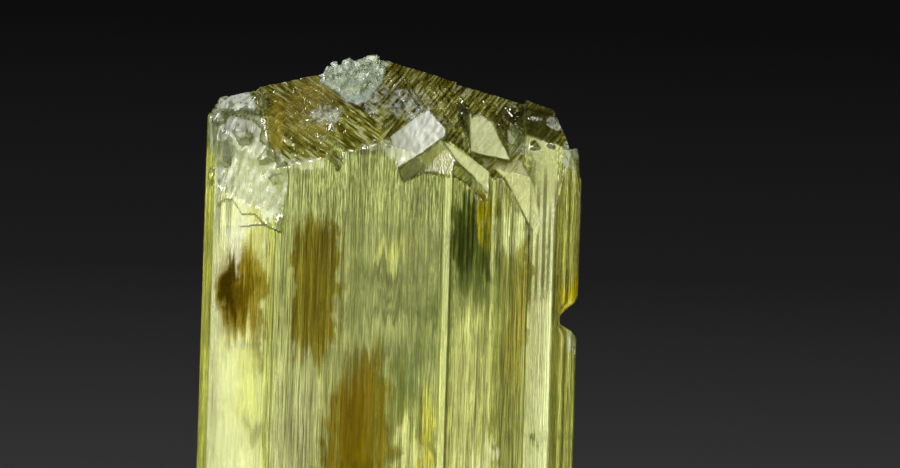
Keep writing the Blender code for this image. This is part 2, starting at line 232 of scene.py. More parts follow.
front_columns = [face_column(i, -1) for i in range(FRONT_COLUMNS)]
back_columns = [face_column(i, 1) for i in range(FRONT_STEPS, -1, -2)]
right_columns = side_columns(front_columns[-1], back_columns[0], 1)
left_columns = side_columns(front_columns[0], back_columns[-1], -1)[::-1]
ring = np.array(front_columns + right_columns + back_columns + left_columns)
for column in ring[FRONT_COLUMNS:FRONT_COLUMNS + SIDE_COLUMNS]:
    column[-1] = front_columns[-1][-1]
for column in ring[-SIDE_COLUMNS:]:
    column[-1] = front_columns[0][-1]
print("ring points:", ring.shape[0], "rows:", ring.shape[1])

# %% [markdown]
# ## Smooth panels
# Two upright panels, one near each edge, are almost without striations, and light comes through
# them in one bright sheet. Ribs there would break it into bars, so each row of the ring is drawn
# nearly straight across these panels, on the front and at the back.

# %% Smooth panels
SMOOTH_PANELS = [
    # from x, to x, up to z, how much
    (-17.6, -12.4, 61.0, 0.9),
    (-12.5, -11.3, 60.0, 0.6),
    (9.7, 10.6, 60.0, 0.6),
    (13.85, 16.2, 55.0, 0.9),
]
FADE = 7.0


def flatten(first, last, left, right, top, amount):
    """Columns first to last of the ring lie nearly straight between left and right, up to top."""
    columns = [i for i in range(first, last) if left <= ring[i, 0, 0] <= right]
    ends = ring[[columns[0], columns[-1]]]
    for i in columns:
        share = (ring[i, :, 0] - ends[0, :, 0]) / (ends[1, :, 0] - ends[0, :, 0])
        straight = ends[0, :, 1] + share * (ends[1, :, 1] - ends[0, :, 1])
        how_much = amount * (1.0 - smooth_step(ring[i, :, 2], top, top + FADE))
        ring[i, :, 1] += (straight - ring[i, :, 1]) * how_much


before = ring.copy()
for panel in SMOOTH_PANELS:
    flatten(0, FRONT_COLUMNS, *panel)
    flatten(FRONT_COLUMNS + SIDE_COLUMNS, len(ring) - SIDE_COLUMNS, *panel)
print("panels drawn smooth, most a point moved, mm:", np.abs(ring - before).max().round(2))

# %% [markdown]
# ## Frost
# The crust on the crest, the left shoulder and a few spots of the top are rough and white. Frost is
# stored as a number from 0 to 1 on every point of the skin, which both the relief and the finish
# read. It could follow the height or the slope, but on the real crystal it lies in spots, so it
# follows a few soft ovals, placed on the front in millimetres.

# %% Frosty spots
FROST_OVALS = [
    # centre x, centre z, half width, half height, strength
    (-4.7, 80.4, 3.4, 2.1, 1.0),
    (-3.9, 78.4, 1.6, 1.4, 1.0),
    (-16.0, 74.0, 2.9, 5.0, 0.75),
    (-14.9, 69.6, 2.6, 3.2, 0.6),
    (-11.9, 68.6, 1.7, 4.2, 0.7),
    (-7.0, 75.9, 1.9, 1.2, 0.6),
    (-1.6, 77.4, 2.4, 2.2, 0.5),
    (1.4, 77.2, 2.6, 2.0, 0.55),
    (17.8, 72.6, 1.3, 1.8, 0.7),
    (16.4, 75.9, 1.5, 0.9, 0.6),
    (13.2, 73.2, 2.6, 1.4, 0.45),
    (-0.8, 72.9, 3.2, 0.8, 0.5),
    (-8.6, 70.9, 2.2, 0.8, 0.6),
    (1.2, 72.3, 2.2, 1.2, 0.7),
]
print("frosty spots:", len(FROST_OVALS))

# %% [markdown]
# ## Facets with a tone of their own, and painted facet light
# Single plates and broken faces of the top are paler or darker than what is round them, with
# straight edges. The grey sheet and the crust are the crystal's own frosty tones. Most of the other
# tints are painted light: the white facet is frost with a painted highlight, the bright strip and
# the pale facets are painted highlights where a facet catches the light, and the dark pocket and
# the dark blade are painted shade. Each is an outline on the front with its tint, and a point's
# distance to that outline gives it a narrow soft edge.

# %% Facet tones and painted facet light
# facet tones: frosty tones of the crystal, and painted highlights and painted shade of the top's
# facets
FACET_TONES_AND_PAINTED_LIGHT = [
    # name, tint, share, frost, outline as x and z
    ("grey sheet", (0.34, 0.36, 0.20), 0.9, 0.7,
     [(-18.4, 76.2), (-13.9, 76.0), (-13.0, 74.0), (-11.7, 71.6), (-10.5, 70.4), (-10.7, 65.3),
      (-12.2, 66.2), (-14.2, 66.6), (-16.0, 67.6), (-17.6, 68.6)]),
    ("crust", (0.74, 0.86, 0.72), 0.9, 0.6,
     [(-8.0, 79.4), (-6.4, 81.8), (-3.0, 83.0), (-1.0, 81.6), (-1.5, 79.4), (-3.0, 77.4),
      (-5.0, 77.3), (-6.2, 78.4)]),
    ("white facet", (1.0, 1.0, 1.0), 1.0, 1.0,
     [(-0.4, 73.9), (3.3, 76.9), (5.3, 74.7), (5.0, 73.8), (0.4, 70.5), (0.2, 72.2)]),
    ("dark pocket", (0.10, 0.10, 0.03), 0.9, 0.0,
     [(0.4, 70.4), (2.4, 71.8), (3.4, 70.9), (5.4, 70.2), (3.0, 70.4), (1.1, 69.4)]),
    ("bright strip", (1.0, 1.0, 0.60), 1.0, 1.0,
     [(4.6, 73.6), (5.3, 73.3), (7.4, 72.1), (9.7, 70.6), (9.4, 68.0), (7.8, 70.3), (6.2, 71.6)]),
    ("olive triangle", (0.28, 0.27, 0.08), 0.9, 0.0,
     [(2.6, 71.9), (4.6, 73.3), (6.1, 71.4), (7.7, 70.1), (5.6, 70.3), (3.4, 71.0)]),
    ("dark blade", (0.05, 0.05, 0.015), 0.95, 0.0,
     [(6.1, 77.5), (7.0, 77.7), (8.3, 74.5), (7.5, 73.7), (6.4, 75.6)]),
    ("pale smooth facet", (0.86, 0.90, 0.44), 1.0, 0.8,
     [(7.4, 76.5), (8.8, 76.4), (9.8, 75.8), (11.7, 71.8), (9.1, 72.2), (7.6, 72.7)]),
    ("small pale facet", (0.70, 0.74, 0.50), 0.9, 0.0,
     [(11.2, 75.0), (12.2, 75.2), (12.4, 73.4), (11.5, 72.2)]),
    ("pale curved facet", (1.0, 1.0, 0.66), 0.95, 0.0,
     [(9.8, 71.1), (12.6, 72.0), (14.0, 69.5), (14.4, 67.5), (14.9, 65.4), (14.4, 64.4),
      (13.5, 65.8), (12.5, 67.5), (11.1, 70.1)]),
]
SOFT_EDGE = 0.12


def inside(x, z, outline):
    """1 inside the outline, 0 outside it, with a soft edge."""
    corners = np.array(outline)
    nexts = np.roll(corners, -1, axis=0)
    nearest = np.full(x.shape, 1e9)
    within = np.zeros(x.shape, dtype=bool)
    for (ax, az), (bx, bz) in zip(corners, nexts):
        along = ((x - ax) * (bx - ax) + (z - az) * (bz - az)) / ((bx - ax) ** 2 + (bz - az) ** 2)
        along = np.clip(along, 0.0, 1.0)
        away = np.hypot(x - ax - along * (bx - ax), z - az - along * (bz - az))
        nearest = np.minimum(nearest, away)
        if az != bz:
            crosses = (az > z) != (bz > z)
            within ^= crosses & (x < ax + (z - az) * (bx - ax) / (bz - az))
    return smooth_step(np.where(within, nearest, -nearest), -SOFT_EDGE, SOFT_EDGE)


print("toned facets:", ", ".join(facet[0] for facet in FACET_TONES_AND_PAINTED_LIGHT))

# %% [markdown]
# ## Where each kind of surface lies
# The fine relief and the finish differ from place to place: upright striations on the prism,
# slanting hatch on the two roofs, frost on the crust. Each of these is a mask from 0 to 1 on every
# point. The roofs are found from the slope of the skin itself, and the rest from the tables above.

# %% Masks on the points
def outward_normals(grid):
    """The skin's outward normal at every grid point."""
    around = np.roll(grid, -1, axis=0) - np.roll(grid, 1, axis=0)
    upward = np.gradient(grid, axis=1)
    normal = np.cross(around, upward)
    length = np.linalg.norm(normal, axis=2, keepdims=True)
    return normal / np.maximum(length, 1e-9)


ROOF_SLOPES = (0.2, 0.5)
ROOF_LEVELS = (60.0, 64.0)
ROOFS_MEET = (-1.9, -0.9)
OVAL_EDGE = (0.75, 1.15)

normals = outward_normals(ring)
across_x, up_z = ring[:, :, 0], ring[:, :, 2]
roof = smooth_step(normals[:, :, 2], *ROOF_SLOPES) * smooth_step(up_z, *ROOF_LEVELS)
right_roof = smooth_step(across_x, *ROOFS_MEET)
frost = np.zeros(roof.shape)
for centre_x, centre_z, half_x, half_z, strength in FROST_OVALS:
    away = np.hypot((across_x - centre_x) / half_x, (up_z - centre_z) / half_z)
    frost = np.maximum(frost, strength * (1.0 - smooth_step(away, *OVAL_EDGE)))
calm = np.zeros(roof.shape)
for left, right, top, amount in SMOOTH_PANELS:
    across = smooth_step(across_x, left - SOFT_EDGE, left + SOFT_EDGE)
    across *= 1.0 - smooth_step(across_x, right - SOFT_EDGE, right + SOFT_EDGE)
    calm = np.maximum(calm, amount * across * (1.0 - smooth_step(up_z, top, top + FADE)))
# per point, the facet tones with their painted highlights and painted shade
facet_tone_and_light = np.zeros((*roof.shape, 4))
for name, tint, share, frosty, outline in FACET_TONES_AND_PAINTED_LIGHT:
    mask = inside(across_x, up_z, outline)
    mask[FRONT_COLUMNS:] = 0.0
    wanted = np.array([*tint, share])
    facet_tone_and_light += (wanted - facet_tone_and_light) * mask[:, :, None]
    frost = np.maximum(frost * (1.0 - mask * (share - 0.5)), frosty * mask)
print("share of roof points:", roof.mean().round(3), "frost:", frost.mean().round(3))

# %% [markdown]
# ## Making the mesh
# The ring points become vertices, and the masks become attributes of the mesh. The last row of the
# back has half as many points as the front, so a small triangle closes each gap on the crest. Its
# doubled points are then merged. Recalculating the normals makes all faces agree, but it can turn
# the whole skin inside out, and clear crystal then mirrors like metal from the side. The sign of
# the volume shows which way the faces look.

# %% Mesh of the skin
def skin_mesh(name):
    count, rows = ring.shape[:2]
    mesh = bpy.data.meshes.new(name)
    numbers = np.arange(count * rows).reshape(count, rows)
    faces = []
    for i in range(count):
        j = (i + 1) % count
        low_left, low_right = numbers[i, :-1], numbers[j, :-1]
        high_left, high_right = numbers[i, 1:], numbers[j, 1:]
        faces.extend(np.stack([low_left, low_right, high_right, high_left], axis=1).tolist())
    faces.append(numbers[::-1, 0].tolist())
    for k in range(0, FRONT_STEPS, 2):
        faces.append([int(numbers[k + step, -1]) for step in (0, 1, 2)])
    mesh.from_pydata((ring.reshape(-1, 3) * MM).tolist(), [], faces)
    masks = {"roof": roof, "right roof": right_roof, "frost": frost, "calm": calm}
    for title, values in masks.items():
        layer = mesh.attributes.new(title, "FLOAT", "POINT")
        layer.data.foreach_set("value", values.reshape(-1).astype(np.float32))
    layer = mesh.attributes.new("facet tone and painted light", "FLOAT_COLOR", "POINT")
    layer.data.foreach_set("color", facet_tone_and_light.reshape(-1).astype(np.float32))
    layer = mesh.attributes.new("inward", "FLOAT_VECTOR", "POINT")
    layer.data.foreach_set("vector", (-normals).reshape(-1).astype(np.float32))
    return mesh


DOUBLE = 1e-7
COLLAPSED = 1e-8
CUBIC_CM = 1e-6


def closed(mesh):
    """Doubles on the crest are merged and every face is made to look outward."""
    bm = bmesh.new()
    bm.from_mesh(mesh)
    bmesh.ops.remove_doubles(bm, verts=bm.verts[:], dist=DOUBLE)
    bmesh.ops.dissolve_degenerate(bm, edges=bm.edges[:], dist=COLLAPSED)
    bmesh.ops.recalc_face_normals(bm, faces=bm.faces[:])
    if bm.calc_volume(signed=True) < 0.0:
        bmesh.ops.reverse_faces(bm, faces=bm.faces[:])
    open_edges = sum(1 for edge in bm.edges if not edge.is_manifold)
    volume = bm.calc_volume(signed=True) / CUBIC_CM
    print("open or doubled edges:", open_edges, "volume, cubic cm:", round(volume, 2))
    bm.to_mesh(mesh)
    bm.free()


crystal = bpy.data.objects.new("crystal_skin", skin_mesh("crystal_skin"))
bpy.context.scene.collection.objects.link(crystal)
closed(crystal.data)

# %% [markdown]
# ## The finish
# Clear crystal is a glass: light passes through it, bends at its surfaces and loses its blue on
# the way. Plain transmission, a plain index of refraction and a plain absorption do that. What
# differs from place to place is the colour at the surface, its roughness and its small bumps, and
# those are built from nodes. A few short helpers add nodes and link them, for colours and masks.

# %% Node helpers
def link(nodes, source, target):
    nodes.links.new(source, target)


def add(nodes, kind, inputs=None, **settings):
    """A node with its settings, and its inputs given as values or as other nodes' outputs."""
    node = nodes.nodes.new(kind)
    for key, value in settings.items():
        setattr(node, key, value)
    for key, value in (inputs or {}).items():
        if isinstance(value, bpy.types.NodeSocket):
            link(nodes, value, node.inputs[key])
        else:
            node.inputs[key].default_value = value
    return node


def maths(nodes, operation, a, b=0.0):
    return add(nodes, "ShaderNodeMath", {0: a, 1: b}, operation=operation).outputs[0]


def mixed(nodes, share, low, high, blend="MIX"):
    """One colour laid over another by a share from 0 to 1."""
    node = add(nodes, "ShaderNodeMix", data_type="RGBA", blend_type=blend)
    for key, value in (("Factor", share), ("A", low), ("B", high)):
        socket = next(i for i in node.inputs if i.name == key and i.enabled)
        if isinstance(value, bpy.types.NodeSocket):
            link(nodes, value, socket)
        else:
            socket.default_value = value if key == "Factor" else (*value, 1.0)
    return next(o for o in node.outputs if o.enabled)


def blended(nodes, share, low, high):
    """One number laid over another by a share from 0 to 1."""
    return add(nodes, "ShaderNodeMix", {0: share, 2: low, 3: high}).outputs[0]


def ranged(nodes, value, low, high, to_low=0.0, to_high=1.0):
    """The value stretched so that low gives to_low and high gives to_high, and held beyond."""
    node = add(nodes, "ShaderNodeMapRange",
               {"Value": value, "From Min": low, "From Max": high,
                "To Min": to_low, "To Max": to_high})
    return node.outputs["Result"]


def attribute(nodes, title):
    return add(nodes, "ShaderNodeAttribute", attribute_name=title).outputs["Fac"]


def in_millimetres(nodes):
    """The point being shaded, in millimetres, as X, Y, Z."""
    place = add(nodes, "ShaderNodeTexCoord").outputs["Object"]
    return add(nodes, "ShaderNodeVectorMath", {0: place, "Scale": 1.0 / MM},
               operation="SCALE").outputs[0]


# %% [markdown]
# ## Colour zones and painted light
# Brown and amber zones lie in the crystal, each with its own place. A zone could be a body of its
# own, but in the real crystal it is only colour, so it is a soft patch of tint on the faces in
# front of it and behind it. The same patches also lay painted highlights and painted shade on the
# faces.
# One node group makes every patch: an oval, or with a higher squareness a rounded box, with a soft
# edge.

# %% Node group for one zone
# one patch of colour or of painted light
def zone_group():
    group = bpy.data.node_groups.new("colour and painted light patch", "ShaderNodeTree")
    sockets = group.interface
    sockets.new_socket("Place", in_out="INPUT", socket_type="NodeSocketVector")
    for title in ("Centre X", "Centre Z", "Half Width", "Half Height", "Squareness", "Softness"):
        sockets.new_socket(title, in_out="INPUT", socket_type="NodeSocketFloat")
    sockets.new_socket("Mask", in_out="OUTPUT", socket_type="NodeSocketFloat")
    given = group.nodes.new("NodeGroupInput").outputs
    place = add(group, "ShaderNodeSeparateXYZ", {0: given["Place"]}).outputs

    def share(value, centre, half):
        away = maths(group, "ABSOLUTE", maths(group, "SUBTRACT", value, centre))
        return maths(group, "POWER", maths(group, "DIVIDE", away, half), given["Squareness"])

    total = maths(group, "ADD", share(place["X"], given["Centre X"], given["Half Width"]),
                  share(place["Z"], given["Centre Z"], given["Half Height"]))
    radius = maths(group, "POWER", total, maths(group, "DIVIDE", 1.0, given["Squareness"]))
    mask = add(group, "ShaderNodeMapRange",
               {"Value": radius, "From Min": maths(group, "ADD", 1.0, given["Softness"]),
                "From Max": maths(group, "SUBTRACT", 1.0, given["Softness"])},
               interpolation_type="SMOOTHSTEP")
    link(group, mask.outputs["Result"], group.nodes.new("NodeGroupOutput").inputs["Mask"])
    return group


def masked(nodes, group, place, x, z, half_x, half_z, square, soft):
    """The mask of one zone: 1 inside it, 0 outside, sizes in millimetres."""
    zone = add(nodes, "ShaderNodeGroup", node_tree=group)
    link(nodes, place, zone.inputs["Place"])
    for title, value in (("Centre X", x), ("Centre Z", z), ("Half Width", half_x),
                         ("Half Height", half_z), ("Squareness", square), ("Softness", soft)):
        zone.inputs[title].default_value = value
    return zone.outputs["Mask"]


def zoned(nodes, group, place, colour, table):
    """The colour with every zone of a table laid over it in turn."""
    for _name, *shape, strength, tint in table:
        mask = masked(nodes, group, place, *shape)
        colour = mixed(nodes, maths(nodes, "MULTIPLY", mask, strength), colour, tint)
    return colour


colour_and_light_patch = zone_group()
print("sockets of the zone group:", [item.name for item in colour_and_light_patch.interface.items_tree])

# %% [markdown]
# ## Upright panels
# The front of the prism is a row of upright panels, some bright and smooth, some dark and finely
# striated. Every panel is a tall, sharp-edged zone with its own tint, and a number says how
# strongly the fine streaks show on it. The tints are partly the crystal's colour and partly painted
# light: the near-white tints of the smooth panels and of the ridge paint the brightness of the
# light that comes through them.

# %% Upright panels of the prism
PALE = (0.44, 0.46, 0.24)
TALL = 45.0
# panel tints: the crystal's colour, with painted light in the near-white tints of the smooth panels
# and the ridge
PANEL_TINTS_AND_PAINTED_LIGHT = [
    # from x, to x, how strongly the streaks show, tint
    (-19.6, -17.75, 0.9, (0.68, 0.69, 0.13)),
    (-17.75, -12.35, 0.3, (1.0, 1.0, 0.68)),
    (-12.35, -11.5, 1.0, (0.74, 0.78, 0.30)),
    (5.25, 5.9, 0.2, (1.0, 1.0, 0.66)),
    (6.0, 10.0, 0.9, (0.33, 0.35, 0.15)),
    (9.95, 10.2, 0.3, (0.86, 0.86, 0.46)),
    (10.3, 13.7, 1.0, (0.28, 0.28, 0.10)),
    (13.7, 16.3, 0.15, (0.98, 1.00, 0.74)),
    (16.35, 19.6, 0.9, (0.62, 0.56, 0.14)),
]
PANEL_SQUARE = 12.0
PANEL_EDGE = 0.06  # softness of a panel's edge, in millimetres


def panelled(nodes, group, place):
    """Colour of the upright panels, and how strongly the streaks show on each."""
    colour, streaky = PALE, 1.0
    for low, high, grain, tint in PANEL_TINTS_AND_PAINTED_LIGHT:
        half = (high - low) / 2.0
        mask = masked(nodes, group, place, low + half, TALL, half, TALL, PANEL_SQUARE,
                      PANEL_EDGE / half)
        colour = mixed(nodes, mask, colour, tint)
        streaky = blended(nodes, mask, streaky, grain)
    return colour, streaky


print("upright panels with a tint of their own:", len(PANEL_TINTS_AND_PAINTED_LIGHT))

# %% [markdown]
# ## Straight lines
# The narrow ridge, the steps between panels and the short flutes at the top of the right strip are
# straight, and stay straight where the colour zones are wispy. They are zones too, but very narrow
# ones, and are laid over the streaks. The ridge's light line between two dark lines is a painted
# highlight with painted shade on each side, and the dark flutes are painted shade in their grooves.

# %% Table of straight lines and flutes
LINES = [
    # name, centre x, centre z, half width, half height, squareness, softness, strength, tint
    # the ridge: a painted highlight between two lines of painted shade
    ("ridge, left shade", 5.1, 35.0, 0.1, 36.0, 8.0, 0.3, 0.7, (0.16, 0.17, 0.07)),
    ("ridge, right shade", 6.02, 35.0, 0.1, 36.0, 8.0, 0.3, 0.8, (0.12, 0.13, 0.05)),
    ("ridge's light", 5.56, 35.0, 0.26, 36.0, 8.0, 0.25, 0.85, (0.98, 1.0, 0.56)),
    ("left step", -11.45, 32.0, 0.07, 33.0, 8.0, 0.4, 0.8, (0.14, 0.15, 0.06)),
    ("left panel's edge", -17.75, 32.0, 0.06, 33.0, 8.0, 0.4, 0.6, (0.24, 0.24, 0.08)),
    ("white boundary", 10.05, 65.0, 0.12, 4.2, 8.0, 0.3, 0.9, (0.95, 0.97, 0.68)),
    # the flutes: dark lines of painted shade in the grooves
    ("flute 1", 13.9, 63.0, 0.17, 6.0, 6.0, 0.2, 0.9, (0.10, 0.10, 0.03)),
    ("flute 2", 14.5, 63.6, 0.15, 5.6, 6.0, 0.2, 0.85, (0.13, 0.13, 0.04)),
    ("flute 3", 15.15, 64.6, 0.18, 6.2, 6.0, 0.2, 0.9, (0.10, 0.10, 0.03)),
    ("flute 4", 15.7, 63.0, 0.14, 4.6, 6.0, 0.2, 0.8, (0.13, 0.13, 0.04)),
    ("flute 5", 16.3, 62.6, 0.2, 7.0, 6.0, 0.2, 0.85, (0.10, 0.09, 0.02)),
]
print("straight lines:", len(LINES))

# %% [markdown]
# ## Brown, green and pale zones
# These tables hold the coloured patches that the photo shows, and a few weak ones lower down, where
# it shows nothing. Most are the crystal's own colour, but some are painted light: the white, golden
# and yellow glints and the left panel's glow and yellow are painted highlights, the dark glints and
# the dark green patch are painted dark reflections, and the left panel's shade is painted shade.
# Each row lies over the rows before it, so haze comes first and glints come last.

# %% Tables of the zones
ZONES = [
    # name, centre x, centre z, half width, half height, squareness, softness, strength, tint
    # painted shade on the left panel
    ("left panel's shade", -16.9, 47.0, 0.5, 12.0, 2.0, 0.5, 0.35, (0.60, 0.64, 0.36)),
    ("left panel's veil", -13.6, 47.0, 0.9, 5.0, 2.0, 0.6, 0.35, (0.66, 0.68, 0.36)),
    ("left panel's olive", -13.2, 63.5, 0.9, 3.4, 2.0, 0.5, 0.6, (0.50, 0.44, 0.10)),
    ("left panel's top", -16.6, 62.5, 0.9, 2.6, 2.0, 0.6, 0.4, (0.60, 0.62, 0.28)),
    ("middle haze", 1.0, 58.0, 5.0, 7.5, 2.0, 0.5, 0.7, (0.31, 0.32, 0.18)),
    ("pale lower left", -9.2, 38.0, 2.2, 15.0, 3.0, 0.3, 0.7, (0.59, 0.57, 0.40)),
    ("pale lower middle", 7.6, 45.0, 2.6, 9.0, 2.5, 0.4, 0.8, (0.71, 0.68, 0.36)),
    ("brown left", -14.6, 58.2, 2.3, 4.7, 2.4, 0.2, 0.97, (0.24, 0.155, 0.0)),
    ("brown left core", -15.7, 58.8, 0.8, 3.0, 2.0, 0.3, 1.0, (0.045, 0.026, 0.0)),
    ("brown left middle", -14.2, 57.8, 0.9, 2.4, 2.0, 0.35, 0.9, (0.10, 0.062, 0.0)),
    ("brown left foot", -13.1, 52.3, 0.8, 2.6, 2.0, 0.5, 0.8, (0.20, 0.13, 0.01)),
    ("brown middle", -7.4, 58.6, 2.2, 6.9, 4.0, 0.14, 0.92, (0.19, 0.135, 0.0)),
    ("brown middle top", -6.1, 63.0, 0.9, 2.4, 2.0, 0.5, 0.8, (0.14, 0.10, 0.02)),
    ("brown dome", -1.7, 41.5, 2.3, 11.4, 2.2, 0.14, 0.92, (0.21, 0.145, 0.0)),
    ("brown dome's left", -4.1, 37.5, 2.4, 12.0, 2.2, 0.14, 0.92, (0.20, 0.135, 0.0)),
    ("brown dome core", -3.6, 47.5, 1.1, 5.0, 2.0, 0.5, 0.7, (0.17, 0.10, 0.005)),
    # dark green: a painted dark reflection
    ("dark green", 7.9, 64.0, 2.0, 4.7, 4.0, 0.16, 0.95, (0.018, 0.026, 0.001)),
    ("orange streak", 9.2, 66.2, 0.6, 2.7, 2.0, 0.35, 0.92, (0.27, 0.20, 0.0)),
    ("green veil", 2.6, 56.6, 3.2, 1.5, 2.0, 0.6, 0.75, (0.17, 0.20, 0.09)),
    ("green veil left", -1.6, 60.2, 2.2, 1.1, 2.0, 0.6, 0.6, (0.20, 0.23, 0.10)),
    ("green veil low", 3.4, 53.4, 1.4, 2.2, 2.0, 0.6, 0.7, (0.18, 0.21, 0.09)),
    ("green veil right", 8.6, 59.2, 1.8, 1.6, 2.0, 0.5, 0.8, (0.12, 0.15, 0.05)),
    ("pale veil", 0.6, 55.0, 2.8, 0.9, 2.0, 0.6, 0.6, (0.62, 0.62, 0.34)),
    ("pale veil right", 7.9, 55.4, 1.8, 1.6, 2.0, 0.6, 0.8, (0.80, 0.80, 0.40)),
    ("amber right", 12.6, 55.0, 0.9, 6.5, 2.0, 0.4, 0.6, (0.30, 0.22, 0.02)),
    # glints: painted highlights and painted dark reflections
    ("white glint", 10.4, 43.2, 0.5, 1.6, 2.0, 0.5, 0.9, (1.0, 1.0, 0.85)),
    ("white glint low", 9.3, 41.4, 0.6, 1.0, 2.0, 0.5, 0.8, (1.0, 1.0, 0.80)),
    ("dark glint", 11.4, 46.6, 1.5, 1.0, 2.0, 0.6, 0.7, (0.16, 0.16, 0.05)),
    ("dark glint left", 0.6, 44.0, 0.5, 3.2, 2.0, 0.4, 0.7, (0.14, 0.14, 0.04)),
    ("golden glints", 3.8, 43.2, 0.9, 2.6, 2.0, 0.5, 0.7, (0.75, 0.55, 0.03)),
    ("pale spot", 0.2, 62.4, 1.2, 1.1, 2.0, 0.6, 0.7, (0.90, 0.88, 0.36)),
    ("green blotch", 1.6, 49.0, 1.2, 3.6, 2.0, 0.45, 0.8, (0.17, 0.22, 0.08)),
    ("pale tongue", 2.3, 41.5, 1.0, 4.8, 2.0, 0.2, 0.8, (0.90, 0.92, 0.50)),
    # more glints: painted highlights and painted dark reflections
    ("yellow glints", 4.1, 45.5, 0.8, 2.8, 2.0, 0.5, 0.8, (0.95, 0.84, 0.14)),
    ("dark glints", 4.9, 44.0, 0.5, 2.2, 2.0, 0.5, 0.8, (0.15, 0.16, 0.06)),
    ("brown line", 13.35, 59.5, 0.3, 5.6, 3.0, 0.4, 0.85, (0.22, 0.15, 0.02)),
    ("dark spot right", 14.6, 44.5, 0.65, 0.5, 2.0, 0.4, 0.9, (0.12, 0.13, 0.04)),
    ("amber at the notch", 18.2, 58.6, 1.0, 1.6, 2.4, 0.25, 1.0, (1.0, 0.66, 0.004)),
    ("chip below the notch", 18.2, 54.4, 0.5, 1.3, 2.0, 0.3, 0.85, (0.96, 0.92, 0.98)),
    # painted highlights: the glow and the bright yellow on the left panel
    ("left panel's glow", -15.4, 64.0, 0.8, 2.6, 2.0, 0.4, 0.9, (1.0, 1.0, 0.98)),
    ("left panel's yellow", -13.9, 48.6, 1.1, 4.6, 2.0, 0.5, 0.6, (1.0, 0.98, 0.36)),
    ("pale right top", 11.6, 65.4, 1.5, 2.6, 2.0, 0.4, 0.75, (0.92, 0.96, 0.62)),
    ("right strip's top", 15.0, 71.4, 2.0, 3.6, 3.0, 0.4, 0.75, (0.46, 0.48, 0.22)),
    ("right strip's dark spot", 13.9, 70.6, 0.5, 1.4, 2.0, 0.5, 0.7, (0.14, 0.14, 0.05)),
    ("left panel's ripple", -15.9, 52.4, 0.45, 2.4, 2.0, 0.6, 0.4, (0.62, 0.64, 0.30)),
    # a darker band at the corner of the left step
    ("dark corner band", -12.7, 43.9, 1.4, 1.2, 2.0, 0.5, 0.7, (0.26, 0.26, 0.10)),
    ("brown lower middle", -4.5, 22.0, 2.2, 9.0, 2.0, 0.5, 0.7, (0.36, 0.27, 0.03)),
    ("green lower right", 7.5, 21.0, 2.0, 9.0, 2.0, 0.5, 0.7, (0.26, 0.30, 0.12)),
    ("brown at the foot", -13.0, 8.0, 2.4, 6.0, 2.0, 0.5, 0.7, (0.36, 0.25, 0.03)),
]
ROOF_ZONES = [
    ("amber pocket", -12.2, 73.6, 0.9, 3.6, 2.0, 0.4, 0.85, (0.66, 0.46, 0.04)),
    ("golden rise", -8.4, 76.5, 2.4, 3.0, 3.0, 0.4, 0.6, (0.40, 0.30, 0.06)),
    ("olive speckles", 13.4, 75.6, 3.4, 1.8, 3.0, 0.3, 0.9, (0.03, 0.028, 0.006)),
]

print("zones of the prism and of the roofs:", len(ZONES), len(ROOF_ZONES))

# %% [markdown]
# ## Streaks
# Growth lines are noise with cells that are narrow and tall. Stretching the place by its own scale
# in each direction does that, and needs no picture. The same noise pushes the places that the zones
# are asked about up and down, so that a patch ends in upright wisps, as colour that follows the
# growth lines does.

# %% Streaks and wisps
def streaks(nodes, place, across, along, detail=2.0, shift=0.0, deep=None):
    """Noise from 0 to 1 whose cells are across wide, along tall and deep in depth, in mm."""
    squeezed = add(nodes, "ShaderNodeMapping",
                   {"Vector": place, "Scale": (1.0 / across, 1.0 / (deep or across), 1.0 / along),
                    "Location": (shift, 0.0, shift)})
    noise = add(nodes, "ShaderNodeTexNoise",
                {"Vector": squeezed.outputs["Vector"], "Scale": 1.0, "Detail": detail})
    return noise.outputs[0]


def shaded_streaks(nodes, place, *cells, low, high, darkest, lightest):
    """Streaks as a factor for a colour, from darkest to lightest."""
    return ranged(nodes, streaks(nodes, place, *cells), low, high, darkest, lightest)


WISP_UP = 2.6
WISP_SIDEWAYS = 1.0


def wisped(nodes, place):
    """The place pushed mostly up and down by streaky noise."""
    up = ranged(nodes, streaks(nodes, place, 0.5, 9.0, 4.0), 0.25, 0.75, -WISP_UP, WISP_UP)
    sideways = ranged(nodes, streaks(nodes, place, 1.6, 2.6, 3.0, 7.0), 0.25, 0.75,
                      -WISP_SIDEWAYS, WISP_SIDEWAYS)
    push = add(nodes, "ShaderNodeCombineXYZ", {"X": sideways, "Z": up}).outputs["Vector"]
    return add(nodes, "ShaderNodeVectorMath", {0: place, 1: push}, operation="ADD").outputs[0]


print("wisps reach up and down, mm:", WISP_UP)

# %% [markdown]
# ## Colour of the prism
# Fine, broad and hair streaks and a soft cloud are multiplied with the panels and zones. The
# streaks are partly growth lines and partly painted light: their lighter and darker lines, up to
# half again as bright as the tint, paint the highlights and shade that light makes at the
# striations.
# The streaks break up into short drips just under the etched top. In the hazy middle and the brown
# dome they are weaker, and the haze has a mottle of its own. The straight lines come last.

# %% Colour of the prism
# streaks: partly growth lines, partly painted highlight and shade lines of the striations
STREAKS_WITH_PAINTED_LIGHT = [
    # across, along, detail, shift, deep; low, high, darkest, lightest
    ((0.10, 3.6), dict(low=0.38, high=0.6, darkest=0.42, lightest=1.5)),
    ((0.5, 20.0), dict(low=0.35, high=0.62, darkest=0.6, lightest=1.32)),
    ((2.4, 3.4, 3.0, 2.0, 6.0), dict(low=0.36, high=0.58, darkest=0.84, lightest=1.08)),
    ((0.11, 16.0, 1.0, 3.0), dict(low=0.27, high=0.36, darkest=0.25, lightest=1.0)),
]
